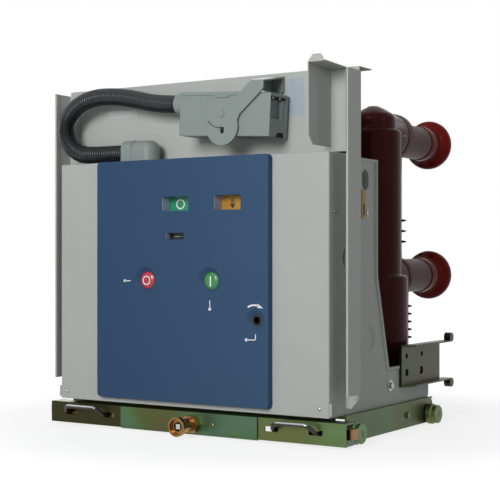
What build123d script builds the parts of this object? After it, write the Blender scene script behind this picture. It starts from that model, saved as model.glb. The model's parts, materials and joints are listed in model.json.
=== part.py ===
from build123d import *
import math
import os

# A withdrawable indoor circuit breaker on a racking truck, in millimetres.
# X runs along the front panel, Y from the front panel to the contacts, Z up.
# Pieces are modelled with Y = 0 on the painted front cover and X = 0 on the middle pole.
# They are saved with Z = 0 on the rails and Y = 0 in the middle of the footprint.

# Driving dimensions of the housing
cover_width = 591.0
cover_depth = 60.0
cover_bottom = 45.0
cover_top = 496.0
sheet = 2.0
side_sheet = 4.0
housing_back = 177.0
housing_top = 490.0
frame_top = 492.0
frame_knee = 283.0
frame_toe = 224.0
base_back = 404.0
base_top = 92.0
ledge_top = 114.0

# Driving dimensions of the mask plate and its guides
guide_room = 28.5
mask_top = 645.0
mask_flange = 46.0
mask_bottom = 56.0
guide_front = 15.0
guide_hem = 3.4
guide_bottom = 82.0
guide_top = 637.0
wing_inset = 27.5
wing_front = -21.0
wing_bottom = 508.0
wing_foot = 500.0
wing_flange = 30.0
wing_tab = 13.2
wing_rise = 2.6

# Driving dimensions of the front panel
panel_x = -6.6
panel_width = 381.5
panel_proud = 12.0
panel_bottom = 53.5
panel_draft = 1.4
panel_corner = 8.0
window_depth = 24.0
open_window = (-15.0, 414.0, 58.0, 26.0)
spring_window = (98.0, 414.0, 56.0, 26.0)
counter_window = (-16.0, 355.0, 40.0, 12.0)
trip_at = (-82.0, 275.0)
close_at = (60.0, 275.0)
button_radius = 15.5
button_gap = 0.4
dish_radius = 24.5
dish_depth = 6.0
charging_at = (156.0, 207.0)
charging_dish = 19.0
charging_radius = 10.0
charging_hex = 12.0

# Driving dimensions of the poles and contacts
pole_pitch = 210.0
pole_y = 334.0
pole_radius = 56.0
pole_low_radius = 69.0
pole_foot_radius = 63.0
pole_low_top = 283.0
pole_low_bottom = 140.0
pole_shoulder = 565.0
pole_top = 612.0
dome_radius = 46.0
support_half = 34.0
support_low = 118.0
support_high = 250.0
link_radius = 26.0
link_z = 452.0
lower_contact = 280.0
contact_pitch = 275.0
boss_rise = 3.0
boss_radius = 45.0
low_boss_radius = 35.5
bead_front = 401.0
low_bead_front = 422.0
bead_round = 8.0
bead_taper = 24.0
low_bead_taper = 5.0
boss_back = 449.0
arm_radius = 27.0
sleeve_radius = 34.0
ring_front = 538.0
ring_back = 606.0
ring_radius = 51.0
finger_count = 16
finger_bore = 17.5
finger_radius = 31.0
finger_thickness = 4.4
finger_front = 566.0
finger_back = 602.0
pad_length = 6.0
shed_root = 7.0
shed_tip = 2.8
shed_reach = 9.0
low_shed_reach = 6.5
upper_sheds = (347.6, 368.2, 388.8)
lower_sheds = (162.0, 177.1, 192.2, 207.3, 222.4)

# Driving dimensions of the truck and its front beam
rail_z = -5.5
wheel_radius = 19.5
wheel_cap_radius = 17.5
wheel_width = 22.0
wheel_tread = 12.0
wheel_front_y = 63.5
wheel_back_y = 384.0
axle_radius = 6.0
axle_gap = 0.1
channel_outer = 304.0
channel_flange = 22.0
channel_front = 46.0
channel_bottom = -2.5
channel_end_radius = 10.0
channel_wall = 3.0
deck_lip = 20.0
deck = 3.0
beam_length = 650.0
beam_front = 6.0
beam_back = 38.0
beam_bottom = -2.5
beam_top = 37.0
beam_wall = 3.0
beam_mid_left = -152.0
beam_mid_right = 150.0
beam_mid_proud = 3.0
beam_mid_drop = 1.5
beam_lip = 5.5
screw_x = 14.0
screw_z = 16.0
screw_radius = 9.0
screw_end = 330.0
collar_radius = 17.5
collar_front = -50.0
collar_depth = 8.0
collar_rim = 3.5
stub_across = 9.0
stub_set_back = 6.5
handle_rod = 7.0
handle_z = 18.0
handle_reach = 20.0
handle_rise = 14.0
handle_sweep = 11.0
handle_bend = 15.0
handle_travel = 12.0
handle_legs_right = (184.0, 272.0)
handle_legs_left = (-282.0, -190.0)
slot_height = 9.0
tongue_height = 18.0
tongue_depth = 20.0
tongue_proud = 8.0
tongue_gap = 0.3

# Driving dimensions of the shutter brackets
bracket_x = 298.0
bracket_web = 3.0
bracket_front = 272.0
bracket_back = 446.0
bracket_low = 77.0
bracket_high = 149.0
bracket_flange = 16.0
bracket_taper = 28.0
bracket_holes = ((22.0, 54.5, 5.0), (89.5, 54.5, 5.0), (87.0, 23.0, 8.0))
bracket_notch = (12.0, 17.0, 17.0, 12.0)
nose_back = 470.0
nose_radius = 9.0

# Driving dimensions of the control plug and its hose
plug_left = -9.0
plug_right = 183.0
plug_low = 532.0
plug_high = 608.0
plug_back = 54.0
plug_front = -8.0
plug_roll = 3.2
plug_lid = 4.0
plug_tab = 4.4
plug_end_depth = 8.0
plug_sill = 31.0
plug_notch = 9.0
plug_notch_width = 12.0
parking_sheet = 1.5
lever_pivot = (85.0, 571.0)
lever_disc = 30.3
lever_disc_at = (83.0, 577.3)
lever_flat = 598.0
lever_lobe = 33.0
lever_lobe_at = (87.8, 547.7)
lever_peg = (88.5, 541.5)
lever_track = 2.2
rear_disc = 22.0
lever_gap = 0.6
lever_sheet = 3.4
lever_pin = 5.0
pin_gap = 0.1
rivet_head = 7.0
rivet_height = 1.6
lid_proud = 1.2
bail_left = 144.0
bail_right = 170.0
bail_high = 629.5
bail_rise = 13.0
bail_depth = 14.0
collar_length = 20.0
collar_wall = 3.4
hose_radius = 16.5
hose_y = 20.0
hose_high = 591.5
gland_left = -155.0
gland_right = -84.0
gland_front = 8.0
gland_back = 50.0
gland_height = 40.0
gland_rim = 24.0
gland_round = 17.0

# Values worked out from the driving dimensions
half = cover_width / 2
mask_half_width = half + guide_room
wing_x = half - wing_inset
upper_contact = lower_contact + contact_pitch
pole_places = (-pole_pitch, 0.0, pole_pitch)
front_most = collar_front
back_most = ring_back
middle_y = (front_most + back_most) / 2
panel_face = -panel_proud
inner_half = half - side_sheet
housing_front = cover_depth + sheet
wheel_z = rail_z + wheel_radius

os.makedirs("parts", exist_ok=True)


def block(x0, x1, y0, y1, z0, z1):
    """A box between two corners, in any order."""
    return Pos((x0 + x1) / 2, (y0 + y1) / 2, (z0 + z1) / 2) * Box(
        abs(x1 - x0), abs(y1 - y0), abs(z1 - z0)
    )


def rod_x(radius, x0, x1, y, z):
    """A round bar along X."""
    return Pos((x0 + x1) / 2, y, z) * Rot(0, 90, 0) * Cylinder(radius, abs(x1 - x0))


def rod_y(radius, y0, y1, x, z):
    """A round bar along Y."""
    return Pos(x, (y0 + y1) / 2, z) * Rot(90, 0, 0) * Cylinder(radius, abs(y1 - y0))


def plate_x(points, x0, x1):
    """A plate that faces along X, from its outline in Y and Z."""
    face = make_face(Polyline(*[(x0, y, z) for y, z in points], close=True))
    return extrude(face, x1 - x0, dir=(1, 0, 0))


def plate_y(points, y0, y1):
    """A plate that faces along Y, from its outline in X and Z."""
    face = make_face(Polyline(*[(x, y0, z) for x, z in points], close=True))
    return extrude(face, y1 - y0, dir=(0, 1, 0))


def turned_y(profile, x, z):
    """A turned piece about the Y axis, from its outline as (radius, y) points."""
    face = make_face(Polyline(*[(r, y, 0) for r, y in profile], close=True))
    return Pos(x, 0, z) * revolve(face, Axis.Y)


def other_side(shape):
    """The same piece on the left side of the breaker."""
    return mirror(shape, about=Plane.YZ)


def save(name, *solids):
    """Write the solids of one named piece, moved to the middle of the footprint."""
    pieces = [Pos(0, -middle_y, -rail_z) * solid for solid in solids]
    shape = pieces[0] if len(pieces) == 1 else Compound(children=pieces)
    export_step(shape, f"parts/{name}.step")


# Painted front cover, with pockets behind the panel windows and buttons
def window_pocket(window, y0, y1):
    x, z, width, height = window
    return block(x - width / 2, x + width / 2, y0, y1, z - height / 2, z + height / 2)


flag_seat = panel_face + window_depth
flag_thickness = 3.0
counter_seat = 6.0
button_pocket = 22.0
notch_radius = 18.5
notch_y = 68.0
notch_z = 315.7

cover = block(-half, half, 0, cover_depth, cover_bottom, cover_top)
cover = fillet(cover.edges().filter_by(Axis.Z).group_by(Axis.Y)[0], 3.0)
cover = fillet(cover.edges().group_by(Axis.Z)[-1].filter_by(Axis.X).sort_by(Axis.Y)[0], 2.0)
for window in (open_window, spring_window):
    cover -= window_pocket(window, -1, flag_seat + flag_thickness)
cover -= window_pocket(counter_window, -1, counter_seat)
for x, z in (trip_at, close_at):
    cover -= rod_y(button_radius + 2, -1, button_pocket, x, z)
cover -= rod_y(charging_radius + 2, -1, 40, *charging_at)
for side in (-1, 1):
    cover -= rod_x(notch_radius, side * (half - 30), side * (half + 1), notch_y, notch_z)
save("front_cover", cover)

# Blue moulded panel, with drafted edges, window openings and finger dishes
panel_sketch = Plane.XZ * RectangleRounded(
    panel_width - 2 * panel_draft, cover_top - panel_bottom - panel_draft, panel_corner
)
panel_mid = (panel_bottom + panel_draft + cover_top) / 2
panel_back_sketch = Plane.XZ * RectangleRounded(
    panel_width, cover_top - panel_bottom, panel_corner
)
panel = loft(
    [
        Pos(panel_x, 0, (panel_bottom + cover_top) / 2) * panel_back_sketch,
        Pos(panel_x, panel_face, panel_mid) * panel_sketch,
    ]
)
for window in (open_window, spring_window, counter_window):
    panel -= window_pocket(window, panel_face - 1, 1)


def dish(x, z, radius, bore, depth):
    """The dished recess round a button or socket, with its bore."""
    outline = [
        (0, panel_face - 1),
        (radius + 1, panel_face - 1),
        (radius, panel_face),
        (bore + 1, panel_face + depth),
        (bore, panel_face + depth),
        (bore, 1),
        (0, 1),
    ]
    return turned_y(outline, x, z)


for place in (trip_at, close_at):
    panel -= dish(*place, dish_radius, button_radius + button_gap, dish_depth)
panel -= dish(*charging_at, charging_dish, charging_radius + axle_gap, dish_depth)
save("panel", panel)

# Indicator flags and operation counter behind the windows
def seated_plate(window, y0, y1):
    x, z, width, height = window
    margin = 0.1
    return block(
        x - width / 2 + margin,
        x + width / 2 - margin,
        y0,
        y1,
        z - height / 2 + margin,
        z + height / 2 - margin,
    )


save("contact_flag", seated_plate(open_window, flag_seat, flag_seat + flag_thickness))
save("spring_flag", seated_plate(spring_window, flag_seat, flag_seat + flag_thickness))
counter = seated_plate(counter_window, 0.5, counter_seat)
counter -= rod_x(4.5, counter_window[0] - 12, counter_window[0] + 12, -3.0, counter_window[1])
save("counter", counter)

# Trip and close buttons, domed and guided in their bores
button_front = panel_face + 3.0
button_back = 9.0


def button(x, z):
    outline = [
        (0, button_front),
        (button_radius - 4, button_front + 0.6),
        (button_radius, button_front + 3),
        (button_radius, 0),
        (button_radius - 5, 0),
        (button_radius - 5, button_back),
        (0, button_back),
    ]
    return turned_y(outline, x, z)


save("trip_button", button(*trip_at))
save("close_button", button(*close_at))

# Charging shaft end, with a hexagon socket for the crank
shaft = rod_y(charging_radius, panel_face + dish_depth, 36, *charging_at)
hexagon = Plane.XZ * RegularPolygon(charging_hex / 2, 6, major_radius=False)
socket = extrude(Pos(charging_at[0], panel_face + dish_depth - 1, charging_at[1]) * hexagon, -19)
save("charging_shaft", shaft - socket)

# Side frames: one sheet each, with the slot, the lightening dimple and the joggled rim
rim = 3.5
rim_width = 6.0
rim_chamfer = 2.5
slot_y = 133.6
slot_z = 454.7
slot_length = 10.5
slot_radius = 13.0
slot_pocket = 14.0
dimple_y = 147.0
dimple_z = 171.5
dimple_radius = 24.0
dimple_slope = 6.0
dimple_depth = 3.0
boss_at = (233.7, 80.8)
boss_hole_radius = 6.0
rim_path = [
    (housing_front, frame_top),
    (housing_back, frame_top),
    (housing_back, frame_knee),
    (frame_toe, ledge_top),
    (bracket_front - 4, ledge_top),
]


def inset_path(points, width):
    """An open path moved to the right of its run, with mitred corners."""
    sides = []
    for (y0, z0), (y1, z1) in zip(points, points[1:]):
        length = math.hypot(y1 - y0, z1 - z0)
        sides.append(((z1 - z0) / length, (y0 - y1) / length))
    moved = []
    for (y, z), before, after in zip(points, sides[:1] + sides, sides + sides[-1:]):
        share = width / (1 + before[0] * after[0] + before[1] * after[1])
        moved.append((y + share * (before[0] + after[0]), z + share * (before[1] + after[1])))
    return moved


def slot_cut(x0, x1):
    """The upright slot of the side frame, between two depths."""
    cut = block(
        x0,
        x1,
        slot_y - slot_radius,
        slot_y + slot_radius,
        slot_z - slot_length / 2,
        slot_z + slot_length / 2,
    )
    for end in (-1, 1):
        cut += rod_x(slot_radius, x0, x1, slot_y, slot_z + end * slot_length / 2)
    return cut


frame_outline = [
    (housing_front, cover_bottom),
    (base_back, cover_bottom),
    (base_back, ledge_top),
    (frame_toe, ledge_top),
    (housing_back, frame_knee),
    (housing_back, frame_top),
    (housing_front, frame_top),
]
frame = plate_x(frame_outline, inner_half, half)
frame = fillet(frame.edges().filter_by(Axis.X).sort_by(Axis.Y)[-2:], 8.0)
rim_inner = inset_path(rim_path, rim_width)
rim_band = plate_x(rim_path + rim_inner[::-1], half - 1, half + rim)
rim_face_edges = rim_band.edges().group_by(Axis.X)[-1]
rim_inner_edges = []
for (y0, z0), (y1, z1) in zip(rim_inner, rim_inner[1:]):
    middle = Vector(half + rim, (y0 + y1) / 2, (z0 + z1) / 2)
    rim_inner_edges.append(min(rim_face_edges, key=lambda edge: (edge.center() - middle).length))
frame += chamfer(rim_inner_edges, rim_chamfer)
frame -= slot_cut(inner_half - 1, half + 1)
dimple_cone = Cone(dimple_radius - dimple_slope, dimple_radius + dimple_slope, 2 * dimple_depth)
frame -= Pos(half, dimple_y, dimple_z) * Rot(0, 90, 0) * dimple_cone
frame -= rod_x(boss_hole_radius, inner_half + 1, half + 1, *boss_at)
save("side_frame_right", frame)
save("side_frame_left", other_side(frame))

# Mechanism housing behind the cover, closed all round but for the slot pockets
housing = block(-inner_half, inner_half, housing_front, housing_back, cover_bottom, housing_top)
slot_room = slot_cut(inner_half - slot_pocket, inner_half + 1)
save("mechanism_housing", housing - slot_room - other_side(slot_room))

# Rear base: an open-bottomed tray that carries the poles
base = block(-inner_half, inner_half, housing_back, base_back, cover_bottom, base_top)
base -= block(
    -inner_half + 8,
    inner_half - 8,
    housing_back + 8,
    base_back - 3,
    cover_bottom - 1,
    base_top - 4,
)
save("rear_base", base)

# Mask plate behind the cover top, with a rear flange along its upper edge
corner = 18.0
mask = plate_y(
    [
        (-mask_half_width + sheet, mask_top),
        (mask_half_width - sheet, mask_top),
        (mask_half_width - sheet, mask_bottom + corner),
        (mask_half_width - corner, mask_bottom),
        (-mask_half_width + corner, mask_bottom),
        (-mask_half_width + sheet, mask_bottom + corner),
    ],
    cover_depth,
    housing_front,
)
mask += block(
    -mask_half_width + sheet,
    mask_half_width - sheet,
    housing_front,
    cover_depth + mask_flange,
    mask_top - sheet,
    mask_top,
)
save("mask_plate", mask)

# Guide strips: an angle each, open to the front beside the cover
guide = block(
    mask_half_width - sheet, mask_half_width, guide_front, housing_front, guide_bottom, guide_top
)
guide += block(
    half + 2.5, mask_half_width, cover_depth - sheet, cover_depth, guide_bottom, guide_top
)
guide += block(
    mask_half_width - guide_hem,
    mask_half_width,
    guide_front,
    guide_front + 8,
    guide_bottom,
    guide_top,
)
save("guide_right", guide)
save("guide_left", other_side(guide))

# Wing beside the control plug: cheek, mounting flange, top flange and tab
wing_back = cover_depth
cheek = plate_x(
    [
        (wing_back, wing_bottom),
        (wing_back, mask_top),
        (wing_front, mask_top + wing_rise),
        (wing_front, wing_bottom + 17),
        (wing_front + 15, wing_bottom),
    ],
    wing_x - sheet,
    wing_x,
)
wing = cheek
wing += block(
    wing_x, half + 1.5, wing_back - sheet, wing_back, wing_foot, mask_top
)
wing += plate_x(
    [
        (wing_back, mask_top - sheet),
        (wing_back, mask_top),
        (wing_front, mask_top + wing_rise),
        (wing_front, mask_top + wing_rise - sheet),
    ],
    wing_x - sheet,
    wing_x + wing_flange,
)
wing += plate_y(
    [
        (wing_x, mask_top + wing_rise - sheet),
        (wing_x + wing_flange - 2, mask_top + wing_rise - sheet),
        (wing_x + wing_flange - 3, mask_top + wing_tab - 6),
        (wing_x + wing_flange - 8, mask_top + wing_tab),
        (wing_x + 8, mask_top + wing_tab),
        (wing_x + 1, mask_top + wing_tab - 8),
    ],
    wing_front,
    wing_front + sheet,
)
save("plug_wing", wing)

# Control plug: parking plate with two pads, hooded plug with its hose collar
lever_x, lever_z = lever_pivot
hang = Pos(lever_x, 0, lever_z) * Rot(0, plug_roll, 0) * Pos(-lever_x, 0, -lever_z)
parking_front = cover_depth - parking_sheet
pad_width = 30.0
plug_base = block(
    plug_left + 10, plug_right - 4, parking_front, cover_depth, plug_low + 6, plug_high - 6
)
for x in (plug_left + 14, plug_right - 6 - pad_width):
    plug_base += block(x, x + pad_width, plug_back, parking_front, plug_low + 8, plug_low + 38)
save("plug_base", hang * plug_base)

end_left = plug_right - plug_end_depth
sill_top = plug_low + plug_sill
lid_line = plug_high - plug_lid
lid_back = plug_front + 5
notch_y = hose_y + 12
hood = block(plug_left, plug_right, plug_front + lid_proud, plug_back, plug_low, plug_high)
hood = fillet(hood.edges().filter_by(Axis.X).group_by(Axis.Y)[0].sort_by(Axis.Z)[-1], 3.0)
hood = fillet(hood.edges().filter_by(Axis.Z).group_by(Axis.Y)[0], 2.5)
hood += plate_y(
    [
        (plug_left, lid_line),
        (plug_left, plug_high + 2),
        (bail_left - 10, plug_high + 2),
        (bail_left - 18, lid_line),
        (lever_x + 16, lid_line),
        (lever_x + 9, lid_line - plug_tab),
        (lever_x - 14, lid_line - plug_tab),
        (lever_x - 21, lid_line),
    ],
    plug_front,
    lid_back,
)
hood -= block(end_left, plug_right + 1, plug_front + 3, plug_back - 7, sill_top, plug_high - 6)
for side in (-1, 1):
    hood -= rod_x(
        plug_notch, end_left - 60, plug_right + 1, notch_y + side * plug_notch_width / 2, plug_low
    )
hood -= block(
    end_left - 60,
    plug_right + 1,
    notch_y - plug_notch_width / 2,
    notch_y + plug_notch_width / 2,
    plug_low - 1,
    plug_low + plug_notch,
)
hood += rod_x(hose_radius + collar_wall + 0.3, plug_left - collar_length, plug_left, hose_y, hose_high)
hood -= rod_x(hose_radius + 0.3, plug_left - collar_length - 1, plug_left, hose_y, hose_high)
cheek_front = plug_front - lever_gap - lever_sheet
cheek_back = plug_back + lever_gap
head_back = cheek_front - pin_gap
hood += rod_y(lever_pin, head_back - rivet_height, lid_back, lever_x, lever_z)
hood += rod_y(lever_pin, plug_back - 5, cheek_back + lever_sheet, lever_x, lever_z)
hood += rod_y(rivet_head, head_back - rivet_height, head_back, lever_x, lever_z)
save("plug_hood", hang * hood)

# Locking lever: a yoke of two cheeks joined by a channel-shaped bail
peg_x, peg_z = lever_peg
peg_slot_radius = 4.0
peg_slot_height = 4.0
bail_sheet = 3.0
bail_foot = bail_high - bail_depth


def lever_cheek(y0, y1, top):
    """An arm of the yoke up to a height, with its hub."""
    arm = [
        (lever_x + 12, lever_z + 24),
        (lever_x + 30, lever_z + 31),
        (lever_x + 40, lever_z + 38),
        (lever_x + 46, lever_z + 46),
        (lever_x + 53, lever_z + 53),
        (lever_x + 63, bail_high),
        (bail_right, top),
        (bail_right, bail_foot),
        (bail_right - 3, bail_foot - 4),
        (lever_x + 38.6, lever_z - 0.5),
        (lever_x + 35, lever_z - 9.6),
        (lever_x + 8, lever_z - 16),
    ]
    if top > bail_high:
        arm.insert(6, (lever_x + 63, top))
    cheek = plate_y(arm, y0, y1)
    cheek += rod_y(rear_disc, y0, y1, lever_x, lever_z)
    return cheek


def lever_front(y0, y1):
    """The front arm, with its disc, its lobe and the peg track between them."""
    cheek = lever_cheek(y0, y1, bail_high)
    disc = rod_y(lever_disc, y0, y1, *lever_disc_at)
    cheek += disc & block(lever_x - 60, lever_x + 60, y0, y1, lever_z - 60, lever_flat)
    cheek += rod_y(lever_lobe, y0, y1, *lever_lobe_at)
    track = rod_y(lever_disc + lever_track, y0 - 1, y1 + 1, *lever_disc_at)
    track -= rod_y(lever_disc, y0 - 1, y1 + 1, *lever_disc_at)
    cheek -= track & block(lever_x - 60, peg_x, y0 - 1, y1 + 1, lever_z - 60, lever_z)
    for end in (-1, 1):
        cheek -= rod_y(peg_slot_radius, y0 - 1, y1 + 1, peg_x, peg_z + end * peg_slot_height / 2)
    cheek -= block(
        peg_x - peg_slot_radius,
        peg_x + peg_slot_radius,
        y0 - 1,
        y1 + 1,
        peg_z - peg_slot_height / 2,
        peg_z + peg_slot_height / 2,
    )
    return cheek


lever = lever_front(cheek_front, plug_front - lever_gap)
lever_back = cheek_back + lever_sheet
lever += lever_cheek(cheek_back, lever_back, bail_high + bail_rise)
for x, low in ((bail_right, bail_high - bail_sheet), (bail_left + bail_sheet, bail_foot)):
    lever += plate_x(
        [
            (cheek_front, low),
            (cheek_front, bail_high),
            (lever_back, bail_high + bail_rise),
            (lever_back, low + bail_rise * (low > bail_foot)),
        ],
        bail_left,
        x,
    )
lever -= rod_y(lever_pin + pin_gap, cheek_front - 1, cheek_back + lever_sheet + 1, lever_x, lever_z)
save("plug_lever", hang * lever)

# Domed elbow gland on the cover top, with its rimmed mouth, and the conduit to the plug
gland_middle = (gland_front + gland_back) / 2
gland_end = (gland_back - gland_front) / 2
gland_top = cover_top + gland_height
gland_turn = gland_right - gland_end
gland = block(gland_left, gland_turn, gland_front, gland_back, cover_top, gland_top)
gland += Pos(gland_turn, gland_middle, cover_top + gland_height / 2) * Cylinder(
    gland_end, gland_height
)
gland = fillet(gland.edges().group_by(Axis.Z)[-1].sort_by(Axis.X)[1:], gland_round)
mouth = block(
    gland_left, gland_left + gland_rim, gland_front - 1, gland_back + 1, cover_top, gland_top + 1
)
mouth = fillet(mouth.edges().filter_by(Axis.X).group_by(Axis.Z)[-1], gland_round)
gland += mouth
save("gland", gland)

hose_low = cover_top + hose_radius + 0.5
roll = math.radians(plug_roll)


def hung(x, y, z):
    """Where a point of the plug lies once the plug hangs at its angle."""
    along = x - lever_x
    up = z - lever_z
    return (
        lever_x + along * math.cos(roll) + up * math.sin(roll),
        y,
        lever_z - along * math.sin(roll) + up * math.cos(roll),
    )


hose_points = [
    hung(plug_left, hose_y, hose_high),
    hung(plug_left - collar_length - 17, hose_y, hose_high),
    (-88, hose_y, 604),
    (-132, 19, 615),
    (-176, 18, 622.5),
    (-226, 17, 624),
    (-270, 16, 611),
    (-299, 16, 581),
    (-296, 16, 544),
    (-265, 17, 515.5),
    (-222, 18, hose_low),
    (-188, hose_y, hose_low),
    (gland_left, hose_y, hose_low),
]


def corner_radii(points):
    """The largest tangent arcs that the runs of a route allow."""
    radii = []
    for before, at, after in zip(points, points[1:], points[2:]):
        arriving = Vector(*at) - Vector(*before)
        leaving = Vector(*after) - Vector(*at)
        turn = math.radians(arriving.get_angle(leaving))
        radii.append(0.45 * min(arriving.length, leaving.length) / math.tan(turn / 2))
    return radii


hose_radii = corner_radii(hose_points)
print("conduit radii", [round(radius) for radius in hose_radii])
print("conduit start", [[round(part, 2) for part in point] for point in hose_points[:2]])
hose_path = FilletPolyline(*hose_points, radius=hose_radii)
hose_section = Plane(origin=hose_path @ 0, z_dir=hose_path % 0) * Circle(hose_radius)
hose = sweep(hose_section, path=hose_path)
save("conduit", hose)


# Resin poles: base, lower body, sheds, main barrel, dome and two contact bosses
def soft_turned(points, radii, axis):
    """A turned solid from (radius, height) points with rounded corners, open to the axis."""
    if axis == Axis.Z:
        places = [(radius, 0, height) for radius, height in points]
        hub = [(0, 0, points[-1][1]), (0, 0, points[0][1])]
    else:
        places = [(radius, height, 0) for radius, height in points]
        hub = [(0, points[-1][1], 0), (0, points[0][1], 0)]
    rounded = FilletPolyline(*places, radius=radii)
    closing = Polyline(places[-1], *hub, places[0])
    return revolve(make_face([*rounded.edges(), *closing.edges()]), axis)


def shed(radius, reach, z):
    """One tapered shed on the rear half of a pole."""
    face = make_face(
        Polyline(
            (radius - 4, 0, z - shed_root / 2),
            (radius + reach - 1.5, 0, z - shed_tip / 2),
            (radius + reach, 0, z),
            (radius + reach - 1, 0, z + shed_tip / 2),
            (radius - 4, 0, z + shed_root / 2),
            close=True,
        )
    )
    rear = block(-radius - 20, radius + 20, 34, radius + 20, z - shed_root, z + shed_root)
    return revolve(face, Axis.Z) & rear


def contact_boss(radius, bead, bead_y, taper):
    """A horizontal boss that ends in a rounded bead, from the pole axis back."""
    return soft_turned(
        [
            (radius, pole_y),
            (radius, bead_y),
            (radius - 1.5, bead_y + 1.5),
            (radius - 1.5, bead_y + 2.5),
            (bead, bead_y + 4),
            (bead, boss_back - taper),
            (sleeve_radius + 1.5, boss_back),
        ],
        [0.4, 0.4, 0.3, 1.0, bead_round],
        Axis.Y,
    )


def pole_body(x):
    body = soft_turned(
        [
            (pole_foot_radius, base_top),
            (pole_foot_radius, pole_low_bottom - 3),
            (pole_low_radius, pole_low_bottom),
            (pole_low_radius, pole_low_top),
            (pole_radius, pole_low_top),
            (pole_radius, pole_shoulder),
            (dome_radius, pole_shoulder),
            (dome_radius - 1.5, pole_top - 20),
            (dome_radius - 21, pole_top - 8),
            (dome_radius - 34, pole_top - 1.5),
            (0.5, pole_top),
        ],
        [2, 2, 8, 4, 9, 0.8, 16, 18, 12],
        Axis.Z,
    )
    body = Pos(0, pole_y, 0) * body
    for heights, radius, reach in (
        (upper_sheds, pole_radius, shed_reach),
        (lower_sheds, pole_low_radius, low_shed_reach),
    ):
        for z in heights:
            body += Pos(0, pole_y, 0) * shed(radius, reach, z)
    body += Pos(0, 0, upper_contact + boss_rise) * contact_boss(
        boss_radius, boss_radius + 1, bead_front, bead_taper
    )
    body += Pos(0, 0, lower_contact) * contact_boss(
        low_boss_radius, low_boss_radius + 1.5, low_bead_front, low_bead_taper
    )
    body += block(-support_half, support_half, housing_back, pole_y, support_low, support_high)
    body += rod_y(link_radius, housing_back, pole_y, 0, link_z)
    return Pos(x, 0, 0) * body


for letter, x in zip("abc", pole_places):
    save(f"pole_{letter}", pole_body(x))

# Contact arms, their sleeves and the flared shield rings, six of each
contact_places = [(x, z) for z in (lower_contact, upper_contact) for x in pole_places]
arm_gap = 0.2
spigot_radius = 19.8

arms = []
sleeves = []
rings = []
clusters = []
springs = []
for x, z in contact_places:
    arms.append(
        turned_y(
            [
                (0, boss_back),
                (arm_radius, boss_back),
                (arm_radius, finger_front - 6),
                (spigot_radius, finger_front - 6),
                (spigot_radius, finger_front + 8),
                (0, finger_front + 8),
            ],
            x,
            z,
        )
    )
    sleeves.append(
        turned_y(
            [
                (arm_radius + arm_gap, boss_back),
                (sleeve_radius, boss_back),
                (sleeve_radius, finger_front - 10),
                (arm_radius + arm_gap, finger_front - 10),
            ],
            x,
            z,
        )
    )
    rings.append(
        turned_y(
            [
                (sleeve_radius + arm_gap, ring_front),
                (sleeve_radius + arm_gap + 1.5, ring_front),
                (sleeve_radius + 2.6, ring_front + 14),
                (sleeve_radius + 3, ring_back - 33),
                (ring_radius - 11, ring_back - 29),
                (ring_radius - 7.5, ring_back - 25.5),
                (ring_radius - 3.5, ring_back - 22.5),
                (ring_radius - 1.2, ring_back - 19),
                (ring_radius, ring_back - 13),
                (ring_radius - 0.5, ring_back - 7),
                (ring_radius - 1.8, ring_back - 3),
                (ring_radius - 3.6, ring_back - 0.8),
                (ring_radius - 5.6, ring_back),
                (ring_radius - 7.5, ring_back - 1.4),
                (ring_radius - 9, ring_back - 4.5),
                (ring_radius - 10.5, ring_back - 11),
                (ring_radius - 14, ring_back - 22),
                (sleeve_radius + arm_gap, ring_front + 24),
            ],
            x,
            z,
        )
    )


def contact_cluster(x, z):
    """Tulip contact: sprung fingers round a slotted carrier."""
    length = finger_back - finger_front
    finger_outline = [
        (finger_bore + 2.5, finger_front),
        (finger_radius - 3, finger_front),
        (finger_radius, finger_front + 5),
        (finger_radius, finger_front + 10),
        (finger_radius - 3, finger_front + 10),
        (finger_radius - 3, finger_front + 14),
        (finger_radius, finger_front + 14),
        (finger_radius - 1, finger_back - 6),
        (finger_bore + 4, finger_back),
        (finger_bore - 0.5, finger_back - 5),
        (finger_bore - 0.5, finger_back - pad_length - 5),
        (finger_bore + 2.5, finger_front + length * 0.5),
    ]
    face = make_face(Polyline(*[(r, y, 0) for r, y in finger_outline], close=True))
    finger = extrude(face, finger_thickness / 2, both=True)
    carrier = turned_y(
        [
            (finger_bore + 4, finger_front),
            (finger_radius - 4, finger_front),
            (finger_radius - 4, finger_front + 6),
            (finger_bore + 4, finger_front + 6),
        ],
        0,
        0,
    )
    cluster = carrier
    for index in range(finger_count):
        cluster += Rot(0, 360 * index / finger_count, 0) * finger
    cluster -= rod_y(finger_bore, finger_back - pad_length - 7, finger_back, 0, 0)
    return Pos(x, 0, z) * cluster


def garter_spring(x, z):
    """The ring spring that lies in the notches of the fingers."""
    inner = finger_radius - 3 + 0.1
    outline = [
        (inner, finger_front + 10.3),
        (inner + 3.0, finger_front + 10.3),
        (inner + 3.0, finger_front + 13.7),
        (inner, finger_front + 13.7),
    ]
    return turned_y(outline, x, z)


for x, z in contact_places:
    clusters.append(contact_cluster(x, z))
    springs.append(garter_spring(x, z))
save("contact_arms", *arms)
save("arm_sleeves", *sleeves)
save("shield_rings", *rings)
save("contact_clusters", *clusters)
save("garter_springs", *springs)


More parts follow.
